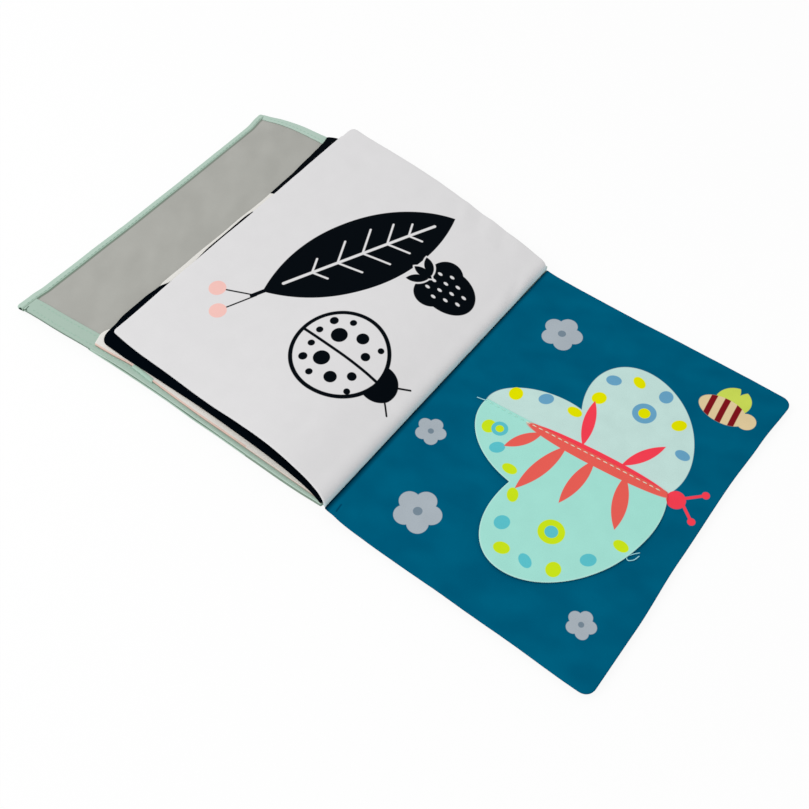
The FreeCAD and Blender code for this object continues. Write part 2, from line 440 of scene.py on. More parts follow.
def waves(out, along, *parts):
    """Smooth noises added up over a page, each with its size, its height and its seed."""
    places = list(zip(np.ravel(out), np.ravel(along)))
    total = 0
    for size, height, seed in parts:
        flat = [noise.noise(Vector((a / size, b / size, seed))) for a, b in places]
        total = total + height * np.array(flat).reshape(np.shape(out))
    return total


def creased(height, out, along, folds):
    """A height with soft folds, each a line between two page places, a rise and a width."""
    for start, end, rise, width in folds:
        run = np.array(end, float) - start
        length = np.linalg.norm(run)
        across = ((out - start[0]) * -run[1] + (along - start[1]) * run[0]) / length
        share = ((out - start[0]) * run[0] + (along - start[1]) * run[1]) / length**2
        fade = np.clip(4 * share * (1 - share), 0, 1)
        height = height + rise * fade * np.exp(-((across / width) ** 2))
    return height


def stack_wave(out, along):
    """What all the sheets on the left share, because each lies on the next."""
    rise = np.clip((out - 20) / 60, 0, 1)
    return rise * waves(out, along, (70, 0.45, 1.5), (25, 0.15, 4.2))


print("a wave in the stack, 100 mm out:", stack_wave(np.array([100.0]), np.array([125.0])))

# %% [markdown]
# ## Sewing a piece of cloth
# A leaf is two printed cloths sewn face to face, turned out and pressed, so it has no hem: its rim
# is a soft fold with the seam inside, and the seam pulls it into slight puckers.  Each piece is a
# closed mesh.  Its grid is fine at the rim, where it has to turn from the top to the underside,
# and wider in the middle.  A solidify modifier would give square rims, so the thickness is made
# here, with the round profile of a turned edge.

# %% Rows of a cloth's grid
rim_steps = (0.0, 0.15, 0.45, 0.9, 1.6)
rim_width = 2.8


def rows_across(length, pitch):
    """Places from one rim of a piece to the other, close together at both rims."""
    rim = np.array([step for step in rim_steps if step < 0.4 * length])
    start = min(rim_width, 0.45 * length)
    count = max(2, round((length - 2 * start) / pitch) + 1)
    return np.concatenate((rim, np.linspace(start, length - start, count), length - rim[::-1]))


def round_corners(out, along, width, length, radii):
    """Move a grid's points in at its four corners, so that each corner is an arc.

    It gives back the points and how far each is from the rim.
    """
    room = np.minimum.reduce((out, width - out, along, length - along))
    ends = ((0, 0), (width, 0), (width, length), (0, length))
    for radius, (end_out, end_along) in zip(radii, ends):
        if radius == 0:
            continue
        s = 1 - np.abs(out - end_out) / radius
        t = 1 - np.abs(along - end_along) / radius
        inside = (s > 0) & (t > 0)
        s_round = s * np.sqrt(np.clip(1 - t**2 / 2, 0, 1))
        t_round = t * np.sqrt(np.clip(1 - s**2 / 2, 0, 1))
        inward_out = 1 if end_out == 0 else -1
        inward_along = 1 if end_along == 0 else -1
        room = np.where(inside, radius * (1 - np.hypot(s_round, t_round)), room)
        out = np.where(inside, end_out + inward_out * radius * (1 - s_round), out)
        along = np.where(inside, end_along + inward_along * radius * (1 - t_round), along)
    return out, along, np.maximum(room, 0)


print("rows across a 20 mm strip:", np.round(rows_across(20, 2), 2))

# %% A closed mesh from a top, an underside and the rim that they share
def closed_cloth(name, top, bottom, faces, on_rim, page_places, materials):
    """One closed piece. Its top takes the first material and its underside the last."""
    free = np.flatnonzero(~on_rim)
    under = np.arange(len(top))
    under[free] = len(top) + np.arange(len(free))
    turned = [tuple(int(under[corner]) for corner in reversed(face)) for face in faces]
    mesh = bpy.data.meshes.new(name)
    places = to_model(np.concatenate((top, bottom[free])))
    mesh.from_pydata(places.tolist(), [], [*faces, *turned])
    for material in materials:
        mesh.materials.append(material)
    last = len(materials) - 1
    mesh.polygons.foreach_set("material_index", [0] * len(faces) + [last] * len(faces))
    mesh.polygons.foreach_set("use_smooth", [True] * len(mesh.polygons))
    pages = np.concatenate((page_places, page_places[free])) * mm
    corner = np.empty(len(mesh.loops), int)
    mesh.loops.foreach_get("vertex_index", corner)
    mesh.uv_layers.new(name="page").data.foreach_set("uv", pages[corner].ravel())
    work = bmesh.new()
    work.from_mesh(mesh)
    bmesh.ops.recalc_face_normals(work, faces=work.faces)
    if work.calc_volume(signed=True) < 0:
        bmesh.ops.reverse_faces(work, faces=work.faces)
    work.to_mesh(mesh)
    work.free()
    return put_in_scene(name, mesh)


def grid_cloth(name, top, bottom, pages, materials):
    """A closed piece whose top, underside and page places are grids of points."""
    number = np.arange(top[..., 0].size).reshape(top.shape[:2])
    quads = np.stack((number[:-1, :-1], number[1:, :-1], number[1:, 1:], number[:-1, 1:]), axis=-1)
    faces = [tuple(quad) for quad in quads.reshape(-1, 4).tolist()]
    on_rim = np.zeros_like(number, bool)
    on_rim[[0, -1], :] = on_rim[:, [0, -1]] = True
    top, bottom, pages = (grid.reshape(-1, grid.shape[-1]) for grid in (top, bottom, pages))
    return closed_cloth(name, top, bottom, faces, on_rim.ravel(), pages, materials)


pillow_reach = 5


def half_height(room, thickness, pillow=0.0):
    """Half the height of a piece where it is room millimetres in from its rim."""
    turn = np.clip(room / (thickness / 2), 0, 1)
    swell = pillow * (1 - np.exp(-room / pillow_reach))
    return thickness / 2 * np.sqrt(1 - (1 - turn) ** 2) + swell


# %% A four-sided piece of cloth on a surface
pucker_reach = 2.5
seam_puckers = ((9, 1.0, 7.7), (24, 0.8, 3.1))


def panel(name, surface, corners, thickness, materials, radii=(0, 0, 0, 0), lift=0.0, pitch=2.2,
          pillow=0.0, pucker=0.0):
    """A piece of cloth between four page places: near spine, near fore, far fore, far spine."""
    corners = np.array(corners, float)
    width = np.linalg.norm(corners[1] - corners[0])
    length = np.linalg.norm(corners[3] - corners[0])
    s, t = np.meshgrid(rows_across(width, pitch), rows_across(length, pitch), indexing="ij")
    s, t, room = round_corners(s, t, width, length, radii)
    u, v = (s / width)[..., None], (t / length)[..., None]
    near = corners[0] * (1 - u) + corners[1] * u
    far = corners[3] * (1 - u) + corners[2] * u
    pages = near * (1 - v) + far * v
    out, along = pages[..., 0], pages[..., 1]
    seam_pull = np.exp(-room / pucker_reach) * pucker * waves(out, along, *seam_puckers)
    half = half_height(room, thickness, pillow)
    top = surface.lifted(out, along, lift + seam_pull + half)
    bottom = surface.lifted(out, along, lift + seam_pull - half)
    return grid_cloth(name, top, bottom, pages, materials)


def sheet_corners(reach, length):
    """The four corners of a whole sheet, in page millimetres."""
    return ((0, 0), (reach, 0), (reach, length), (0, length))


def report(piece):
    """Say how many faces a piece has and how high it stands."""
    heights = [vertex.co.z for vertex in piece.data.vertices]
    low, high = min(heights) / mm, max(heights) / mm
    print(f"{piece.name}: {len(piece.data.polygons)} faces, from {low:.1f} to {high:.1f} mm up")


# %% [markdown]
# ## Front cover
# The front cover is a mint case round a stiff sheet, and it lies folded round to the back, under
# everything else on the left.  Only a thin line of it shows below the wide cover.  It is one sewn
# panel with almost square corners, and it rides on its own body, because it swings on its own
# seam.

# %% Sew the front cover
front_reach = 205.2
front_surface = Surface(
    near_edge=[
        (-3, 2.9, 1.1), (-20, 2.1, 1.1), (-60, 2.2, 1.1), (-90, 2.6, 1.1), (-112, 2.6, 1.1),
        (-125, 3, 1.1), (-170, 2.9, 1.1), (-207, 2, 1.1),
    ],
    far_edge=[(-0.5, 250, 1.1), (-110, 251, 1.1), (-207, 252, 1.1)],
    reach=front_reach,
)
# Painted shade: the two darker bands along the near rim, where it lies under the wide cover's
# edge.
front_cloth = Cloth("front_mint", (176, 199, 185), bands=[
    ((98, 120, 106), (135, 0.85), (146, 0.9)),
    ((134, 152, 138), (31, 0.2), (62, 1.2)),
])
front_cover = panel(
    "front_cover_cloth", front_surface, sheet_corners(front_reach, spine_length), 2.0,
    [front_cloth.finish(), plain_mint], radii=(1, 3, 3, 1), pucker=0.12,
)
report(front_cover)

# %% Join it to its body
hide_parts("front_cover")
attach(front_cover, "front_cover_side")

# %% [markdown]
# ## Wide back cover
# The back cover reaches 65 mm past the front one.  Its inner side carries the mirror film under a
# sewn border, and past the front cover it slopes down to the table.  Film and border have to
# follow that slope, so they are not modelled by themselves: they are panels on the same surface,
# each lifted by what lies under it.

# %% Sew the wide cover
cover_reach = 270.0
cover_thickness = 1.9
cover_surface = Surface(
    near_edge=[
        (-3, 3, 3.2), (-20, 2.4, 3.2), (-60, 2.6, 3.2), (-105, 3.2, 3.2), (-150, 3.6, 3.2),
        (-180, 3.2, 3.2), (-207, 1.5, 3.1), (-233, 0.2, 2.1), (-258, -0.5, 1.2), (-270, -1.5, 1.0),
    ],
    far_edge=[
        (-0.5, 250, 3.3), (-60, 252, 4.0), (-120, 254, 5.3), (-180, 255.2, 6.4),
        (-206, 255.8, 6.9), (-214, 255.4, 6.7), (-236, 254.2, 5.5), (-250, 252.1, 4.3),
        (-262, 250.1, 2.4), (-270, 249.4, 1.4),
    ],
    reach=cover_reach,
    fore_shifts=[
        (0, -0.2), (12, 0.4), (24, 1.6), (60, 2.2), (110, 3.1), (160, 3.3), (230, 3.0),
        (246, 0.9), (250, 0.4),
    ],
)
# Along the near rim a lighter band is painted light on the side that faces the lamp and camera,
# and past the front cover a dark line is painted shadow where the rim meets the table.
rimmed_mint = Cloth("rimmed_mint", (169, 191, 178), bands=[
    ((183, 205, 192), (104, 0), (208, 1.4)),
    ((98, 116, 104), (232, 0), (62, 0.5)),
])
wide_cover = panel(
    "wide_cover_cloth", cover_surface, sheet_corners(cover_reach, spine_length), cover_thickness,
    [rimmed_mint.finish()], radii=(1, 3, 3, 1), pucker=0.12,
)
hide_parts("back_cover", "back_cover_board", "base_board")
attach(wide_cover, "left_side")
report(wide_cover)

# %% [markdown]
# ## Mirror film and its border
# A baby's mirror is a soft silvered film.  Here it lies face up and shows only the pale room, so
# it looks like a satin grey sheet with a slight mottle.  That look is painted: a smooth shader
# with a soft, uneven relief carries a grey colour and faint streaks that are a painted reflection
# of the room.  Its border is mint cloth cut as strips, topstitched along the outside, and the fore
# edge has its own folded binding.

# %% Grey film with a painted reflection
def film_material():
    """Grey film, smoother than the cloth; its grey and faint streaks are a painted reflection of
    the pale room.
    """
    film = Cloth("satin_film", (172, 172, 166), unevenness=0.08, weave=0.02)
    # Painted reflection: faint streaks of the room in the mirror.
    film.ink((167, 167, 161), film.streaks(34, 0.5, 55))
    # Painted shade on the film along the binding's inner edge.
    film.ink((130, 138, 128), film.box_shape((264.2, 125), (1.6, 252)))
    film.shader.inputs["Roughness"].default_value = 0.55
    film.shader.inputs["Specular IOR Level"].default_value = 0.2
    film.shader.inputs["Sheen Weight"].default_value = 0.0
    return film.finish(wrinkle=0.2)


film_thickness = 0.3
film_gap = 0.05
mirror = panel(
    "mirror_film_sheet", cover_surface, ((9, 9), (265, 9), (265, 245), (9, 245)), film_thickness,
    [film_material()], lift=cover_thickness / 2 + film_thickness / 2 + film_gap, pitch=3,
)
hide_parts("mirror_sheet")
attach(mirror, "left_side")
report(mirror)

# %% The border strips and the fore binding
strip_thickness = 0.7
strip_lift = cover_thickness / 2 + film_thickness + strip_thickness / 2 + 2 * film_gap
binding_thickness = 2.7
binding_lift = 0.4


def border_strip(
        name, corners, cloth, thickness=strip_thickness, lift=strip_lift, radii=(0, 0, 0, 0)):
    """One strip of the border, with its edges turned under."""
    return panel(
        name, cover_surface, corners, thickness, [cloth], radii=radii, lift=lift,
        pitch=1.6, pillow=0.1, pucker=0.15,
    )


near_mint = Cloth("near_mint", (169, 191, 178))
# Painted shade at the near corner: a dark line along the mitred fold and a dark spot in the gap
# beside it.
fold_painted_shadow = near_mint.stroke((262.2, 0.4), (263, 3.6), 0.7)
near_mint.ink((78, 100, 88), near_mint.ellipse((262, 0.2), (1.1, 0.7)), fold_painted_shadow)
near_mint = near_mint.finish()
# Painted light: the far strip is the same mint cloth as the others, drawn lighter for the light it
# gets.
far_mint = Cloth("far_mint", (181, 203, 191)).finish()
strips = [
    border_strip("border_near", ((0, 0.2), (264.5, 0.2), (264.5, 12), (0, 14.5)), near_mint),
    border_strip("border_far", ((0, 233.4), (264, 244.8), (266, 249.8), (0, 249.8)), far_mint),
    border_strip("border_spine", ((0.5, 14.7), (15, 14.5), (15, 234.8), (0.5, 234.2)), plain_mint),
]
# The binding's darker bands along its inner edge are painted shade where it stands over the film,
# and the dark spot at its near corner is painted shade in the gap of the fold.
binding_painted_shade = Cloth("binding_cotton", (181, 203, 190), bands=[
    ((165, 188, 174), (264.9, 125), (2.8, 252)),
    ((124, 146, 130), (264.4, 125), (1.2, 252)),
])
binding_painted_shade.ink((34, 54, 44), binding_painted_shade.ellipse((266.6, -0.8), (1.5, 0.9)))
binding = border_strip(
    "fore_binding", ((263.9, -0.6), (270.9, -0.9), (270.6, 250.4), (264.8, 250.3)),
    binding_painted_shade.finish(), binding_thickness, binding_lift, (0, 3, 3, 0),
)
for strip in [*strips, binding]:
    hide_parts("cover_border")
    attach(strip, "left_side")
    report(strip)

# %% [markdown]
# ## Topstitching
# A sewing machine leaves a row of short stitches, each dipping into the cloth at its ends.  They
# are real geometry here, one small loop of thread after another, and all the stitches of a row are
# one mesh.

# %% Thread and a row of stitches
def strand(work, places, widths, sides=6):
    """Add one length of thread along a line of places, as wide at each as widths says."""
    ahead = np.gradient(np.asarray(places, float), axis=0)
    loops = []
    for spot, forward, width in zip(places, ahead, widths):
        forward = Vector(forward).normalized()
        across = Vector((0, 0, 1)).cross(forward).normalized()
        upward = forward.cross(across)
        ring = []
        for side in range(sides):
            angle = 2 * math.pi * side / sides
            offset = (across * math.cos(angle) + upward * math.sin(angle)) * width / 2
            ring.append(work.verts.new(to_model(Vector(spot) + offset)))
        loops.append(ring)
    for first, second in zip(loops, loops[1:]):
        for side in range(sides):
            after = (side + 1) % sides
            work.faces.new((first[side], first[after], second[after], second[side]))
    work.faces.new(reversed(loops[0]))
    work.faces.new(loops[-1])


def thread_piece(name, work, material):
    """Turn strands into one smooth piece with a material."""
    bmesh.ops.recalc_face_normals(work, faces=work.faces)
    uv = work.loops.layers.uv.new("page")
    for face in work.faces:
        face.smooth = True
        for corner in face.loops:
            corner[uv].uv = corner.vert.co.xy
    mesh = bpy.data.meshes.new(name)
    work.to_mesh(mesh)
    work.free()
    mesh.materials.append(material)
    return put_in_scene(name, mesh)


def stitch_row(name, surface, line, lift, material, pitch=3.6, share=0.72, width=0.45):
    """Stitches along a line of page places. share is how much of the pitch a stitch covers."""
    line = np.array(line, float)
    run = np.concatenate(([0], np.cumsum(np.linalg.norm(np.diff(line, axis=0), axis=1))))
    arch = np.sin(math.pi * np.linspace(0.06, 0.94, 7))
    work = bmesh.new()
    for start in np.arange(pitch / 2, run[-1] - pitch, pitch):
        along = start + pitch * share * np.linspace(0, 1, len(arch))
        pages = np.stack([np.interp(along, run, line[:, axis]) for axis in (0, 1)], axis=-1)
        places = surface.lifted(pages[:, 0], pages[:, 1], lift + width * 0.45 * (arch - 0.35))
        strand(work, places, width * np.sqrt(arch))
    return thread_piece(name, work, material)


mint_thread = Cloth("mint_thread", (166, 198, 181), unevenness=0.1).finish(wrinkle=0.1)
strip_top = strip_lift + strip_thickness / 2
binding_top = binding_lift + binding_thickness / 2
stitch_lines = {
    "stitches_near_window": ([(20, 11.8), (262, 9.2)], strip_top),
    "stitches_near_rim": ([(2, 2.6), (262, 2.6)], strip_top),
    "stitches_far_window": ([(20, 236.6), (262, 247)], strip_top),
    "stitches_binding": ([(266.2, 3), (266.3, 247)], binding_top),
}
border_stitches = [
    stitch_row(name, cover_surface, line, height, mint_thread)
    for name, (line, height) in stitch_lines.items()
]
for row in border_stitches:
    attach(row, "left_side")
print(len(border_stitches), "rows of stitches")

# %% [markdown]
# ## Three leaves
# The three leaves on the left are each two cloths and a thin wadding, sewn at the spine and free
# at the fore edge.  They fan out a little: each lies further along the spine than the one below,
# so a peach edge and a black one show along the near side.  Each leaf is its own surface, and all
# share one slight wave, because each lies on the next.  The joint moves them as one packet.

# %% Lay a leaf on the left
leaf_cloth_thickness = 1.8


def left_leaf(name, surface, materials, radii, thickness=leaf_cloth_thickness):
    """Sew one left leaf and let it move with the back cover."""
    leaf = panel(
        name, surface, sheet_corners(surface.reach, spine_length), thickness, materials,
        radii=radii, pitch=2.4, pillow=0.1, pucker=0.2,
    )
    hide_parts("left_pages")
    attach(leaf, "left_side")
    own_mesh(leaf)
    report(leaf)


# %% Bottom leaf: pale, with a peach near edge and a black far part
# A painted shadow: a thin brown line along the near rim, where the leaf's rim meets the mint under
# it.
painted_seam_shadow = ((160, 142, 128), (104, 0), (208, 0.5))
pale_side = Cloth("pale_print", (228, 226, 221), gloss=0.01, bands=[
    ((224, 217, 209), (32, 0), (64, 2.6)),
    ((224, 197, 185), (136, 0), (146, 2.6)),
    painted_seam_shadow,
    ((5, 9, 14), (105, 221.5), (240, 88)),
])
pale_back = Cloth("pale_cotton", (228, 226, 221), bands=[painted_seam_shadow]).finish()
bottom_surface = Surface(
    near_edge=[
        (-2.5, 3.6, 5.6), (-12, 3.9, 5.9), (-27, 3.9, 6.4), (-50, 4.1, 6.8), (-75, 4.4, 6.8),
        (-105, 4.8, 6.6), (-125, 5.5, 6.3), (-150, 6.6, 6.2), (-172, 7.6, 6.2), (-187, 6.1, 6.1),
        (-203.5, 5.1, 6),
    ],
    far_edge=[
        (-2.5, 249, 6.0), (-12, 250, 7.2), (-45, 252, 8.6), (-105, 255, 9.3), (-165, 257.8, 9.8),
        (-190, 258.7, 9.9), (-198.5, 258.3, 9.9), (-205.4, 255.3, 9.4),
    ],
    reach=202.0,
    fore_shifts=[
        (0, 1.9), (10, -0.6), (20, 2.6), (58, 2.6), (69, 1.2), (93, 1.8), (137, 2.9), (170, 4.2),
        (182, 3.9), (202, 3.7), (221, 2.5), (234, 1.7), (243, 1.0), (250, -0.4),
    ],
    wave=stack_wave,
)
left_leaf(
    "bottom_leaf", bottom_surface, [pale_side.finish(), pale_back], (1, 2.5, 1.5, 1),
    thickness=1.5,
)

# %% A small bare label sewn to the bottom leaf's near edge
label_cloth = Cloth("label_cotton", (174, 202, 187)).finish()
label_corners = ((147, -0.9), (167, -0.9), (167, 2.4), (147, 2.4))
label = panel("side_label", bottom_surface, label_corners, 2.1, [label_cloth], pitch=1.5)
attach(label, "left_side")
report(label)

# %% Middle leaf: black at its near end, white past it
black_side = Cloth("black_print", (222, 221, 222), gloss=0.0)
black_side.ink((3, 8, 14), black_side.side((0, 148), 90))
middle_surface = Surface(
    near_edge=[
        (-1.6, 1.6, 7.1), (-12, 3.6, 9), (-30, 5, 11.6), (-50, 5.9, 12.8), (-75, 7.1, 12),
        (-105, 8.7, 10), (-140, 9.1, 8.6), (-180, 8.8, 8.1), (-201, 9.2, 8.1),
    ],
    far_edge=[
        (-2.5, 248.5, 6.8), (-12, 250.2, 9), (-45, 253.4, 11), (-105, 258, 11.6),
        (-165, 261.6, 11.6), (-199, 263, 11.5),
    ],
    reach=201.5,
    fore_shifts=[
        (0, 1.6), (14, 0.3), (25, -1.2), (45, -1.2), (56, -0.2), (66, 3), (86, 3), (105, 1.7),
        (140, 1.6), (152, 3), (250, 2.5),
    ],
    wave=stack_wave,
)
left_leaf(
    "middle_leaf", middle_surface, [black_side.finish(), pale_back], (1, 7, 4, 1),
)

# %% [markdown]
# ## The top leaf's picture
# The top leaf is printed in black on white, because small babies see strong contrast best.  The
# print is flat shapes: a large leaf with white veins, a spotted beetle, a berry with seeds and two
# pale pink fruits on stems.  Each is an ellipse, a petal or a stroke, and what repeats is a loop.

# %% Print the top leaf
def black_and_white_print():
    """A leaf, a beetle and berries, in black on white with a little pink."""
    black, white, pink = (3, 8, 14), (224, 223, 224), (245, 196, 188)
    page = Cloth("picture_print", white, gloss=0.02)
    # Painted reflection: light from the blue page tints the white rim beside the gutter teal.
    page.ink((168, 220, 227), page.side((1.2, 0), 0, 3.4))

    # a long leaf with a midrib and paired veins
    leaf_centre, leaf_length, leaf_turn = (112, 160), 156, 115
    page.ink(black, page.petal(leaf_centre, leaf_length, 64, leaf_turn))
    ahead = Vector((math.cos(math.radians(leaf_turn)), math.sin(math.radians(leaf_turn))))
    aside = Vector((-ahead.y, ahead.x))
    middle = Vector(leaf_centre)
    veins = [page.stroke(middle - ahead * 62, middle + ahead * 60, 2.4)]
    for step, spread in zip((-40, -20, 0, 20, 38), (10, 16, 18, 15, 9)):
        for way in (-1, 1):
            root = middle + ahead * step
            tip = root + ahead * spread * 0.8 + aside * spread * way
            veins.append(page.stroke(root, tip, 1.6))
    page.ink(white, *veins)
    stalk = middle - ahead * 76
    page.ink(black, page.stroke(stalk, stalk - ahead * 10, 3.2))

    # two pale fruits on thin stems
    fruits = [(158, 58), (172, 72)]
    page.ink(black, *[page.stroke((146, 84), place, 1.2) for place in fruits])
    page.ink(pink, *[page.disc(place, 6.2) for place in fruits])

    # a spotted beetle seen from above
    body = Vector((66, 84))
    feelers = [page.stroke((22, 84 + way * 5), (12, 84 + way * 13), 1.4) for way in (-1, 1)]
    page.ink(black, page.disc((31, 84), 14), page.disc(body, 36), *feelers)
    page.ink(white, page.disc(body, 33))
    spots = [
        (-17, 9, 3.4), (-6, 19, 4.6), (9, 11, 6.0), (20, 18, 3.2), (23, 6, 2.6), (-22, 20, 2.4),
        (8, 25, 2.6),
    ]
    marks = [page.stroke(body + Vector((-33, 0)), body + Vector((33, 0)), 2.2)]
    for out, up, radius in spots:
        for way in (-1, 1):
            marks.append(page.disc(body + Vector((out + way * 1.5, up * way)), radius))
    page.ink(black, *marks)

    # a berry with white seeds and three sepals
    berry = Vector((42, 176))
    lobes = [page.disc(berry + Vector((9, 9 * way)), 13) for way in (-1, 1)]
    page.ink(black, page.ellipse(berry, (22, 18)), *lobes)
    seeds = []
    for row, count in enumerate((2, 3, 4, 3)):
        for place in range(count):
            seed = berry + Vector((-12 + row * 8.5, (place - (count - 1) / 2) * 7.5))
            seeds.append(page.ellipse(seed, (1.9, 1.1)))
    page.ink(white, *seeds)
    for colour, length, width in ((white, 20, 10), (black, 17, 7)):
        sepals = [(berry + Vector((24, way * 7)), length, width, way * 38) for way in (-1, 0, 1)]
        page.ink(colour, *[page.petal(*sepal) for sepal in sepals])
    return page.finish()


top_folds = [
    ((84, 256), (72, 228), 0.7, 4), ((70, 254), (60, 230), -0.6, 4),
    ((58, 256), (48, 226), 0.7, 4), ((45, 254), (35, 228), -0.6, 4),
    ((30, 254), (24, 232), 0.5, 4), ((50, 236), (68, 208), 0.5, 2.5),
    ((4, 196), (10, 228), -1.1, 3), ((150, 236), (186, 222), -0.7, 8),
    ((103, 44), (101, 62), 0.4, 2.2), ((67, 64), (66, 48), 0.4, 1.8),
    ((52, 12), (44, 36), -0.5, 4), ((42, 84), (6, 76), -0.5, 4),
]


def top_wave(out, along):
    """The stack's wave, and a few soft folds where small hands have bent the leaf."""
    return creased(stack_wave(out, along), out, along, top_folds)


top_surface = Surface(
    near_edge=[
        (0.3, 2.3, 4.2), (-1.4, 3.4, 8), (-5, 4.6, 10.3), (-12, 6.3, 12), (-30, 8.2, 16.3),
        (-50, 10.2, 17.2), (-75, 11.8, 15.2), (-105, 13.1, 12), (-140, 15.3, 10.5),
        (-180, 17.2, 10), (-196.4, 19, 10),
    ],
    far_edge=[
        (0, 247.3, 5), (-1.7, 247.8, 8.5), (-12, 249.5, 11), (-28, 251.8, 12.6),
        (-64, 257.4, 13.6), (-104, 263.8, 13.6), (-144, 268.1, 13.3), (-180, 271, 13),
        (-194.4, 272.9, 13),
    ],
    reach=202.0,
    fore_shifts=[
        (0, 0), (18, 0.3), (60, -0.3), (100, -0.4), (140, 0), (170, 0.4), (200, 0.1), (250, -0.3),
    ],
    wave=top_wave,
)
white_back = Cloth("white_cotton", (226, 225, 226)).finish()
left_leaf(
    "top_leaf", top_surface, [black_and_white_print(), white_back], (1, 2.5, 5.5, 1),
)

# %% [markdown]
# ## The right page
# One leaf lies on the right.  It comes over the spine binding at the gutter and lies flat on the
# table.  Its print is a butterfly on deep blue.  One pair of wings is printed on the page, and the
# other pair is the lift-up flap.  Each pair is two ellipses, placed by how far they are along the
# flap's seam and away from it, to one side or the other.

# %% Where the butterfly lies
seam_start = Vector((31.3, 131.5))
seam_turn = 3.9
wings = [((55.3, 10), (56.6, 38.9), 7.8), ((89.8, 44.5), (63.8, 41.2), 119.3)]
printed_wings = [((37.5, 5), (38.5, 22.5), 9), ((94.2, 32.3), (51.5, 35.5), 131)]
flap_yellow, flap_blue, flap_coral = (205, 232, 24), (92, 196, 206), (236, 96, 86)
page_yellow, page_blue, page_coral = (230, 230, 0), (106, 166, 200), (250, 66, 84)


def from_seam(along, away, side):
    """A page place from its distances along the seam and away from it. side is 1 far, -1 near."""
    angle = math.radians(seam_turn)
    ahead = Vector((math.cos(angle), math.sin(angle)))
    return seam_start + ahead * along + Vector((-ahead.y, ahead.x)) * away * side


def wing_mask(page, wing, side):
    """One wing as a mask on a page."""
    centre, radii, turn = wing
    return page.ellipse(from_seam(*centre, side), radii, seam_turn + side * turn)


print("the seam starts at", tuple(round(x, 1) for x in seam_start))

# %% What is printed on the wings
def rim_dots(page, wing, side, angles, colours, size=5.2):
    """Dots inside a wing's rim, at angles from its long axis, in two colours by turns."""
    centre, radii, turn = wing
    lean = math.radians(turn)
    masks = ([], [])
    for number, angle in enumerate(angles):
        inset = 0.77 if number % 2 else 0.82
        ahead = inset * radii[0] * math.cos(math.radians(angle))
        aside = inset * radii[1] * math.sin(math.radians(angle))
        along = centre[0] + ahead * math.cos(lean) - aside * math.sin(lean)
        away = centre[1] + ahead * math.sin(lean) + aside * math.cos(lean)
        slim = 0.7 + 0.1 * (number % 3)
        spot = page.ellipse(from_seam(along, away, side), (size, size * slim), 50 * number)
        masks[number % 2].append(spot)
    for colour, group in zip(colours, masks):
        page.ink(colour, *group)


def eyespot(page, place, side, radius, colours):
    """A ring with a darker heart, as on a butterfly's wing."""
    centre = from_seam(*place, side)
    page.ink(colours[0], page.disc(centre, radius))
    page.ink(colours[1], page.disc(centre, radius * 0.5))


def wing_cells(page, cells, side, colour):
    """Pointed cells that fan out from the body, each with its start, its end and its width."""
    masks = []
    for root, tip, width in cells:
        start, end = from_seam(*root, side), from_seam(*tip, side)
        run = end - start
        turn = math.degrees(math.atan2(run.y, run.x))
        masks.append(page.petal((start + end) / 2, run.length, width, turn))
    page.ink(colour, *masks)


def butterfly_body(page, colour):
    """The long body on the seam, its head and its two feelers."""
    body = page.ellipse(from_seam(84, 2.5, -1), (52, 6.2), seam_turn)
    head = page.disc(from_seam(139, 2, -1), 6.4)
    root = from_seam(141, 0, 1)
    feelers = [page.stroke(root, from_seam(153, 10 * way, 1), 2) for way in (-1, 1)]
    tips = [page.disc(from_seam(154, 10.8 * way, 1), 2.6) for way in (-1, 1)]
    page.ink(colour, body, head, *feelers, *tips)


print(len(wings), "sewn wings and", len(printed_wings), "printed ones")

# %% Print the right page
def flower(page, centre, size, petals, heart):
    """Five round petals and a heart."""
    centre = Vector(centre)
    blossom = []
    for number in range(5):
        angle = math.radians(90 + 72 * number)
        ahead = Vector((math.cos(angle), math.sin(angle)))
        blossom.append(page.disc(centre + ahead * size * 0.58, size * 0.46))
    page.ink(petals, *blossom)
    page.ink(heart, page.disc(centre, size * 0.2))


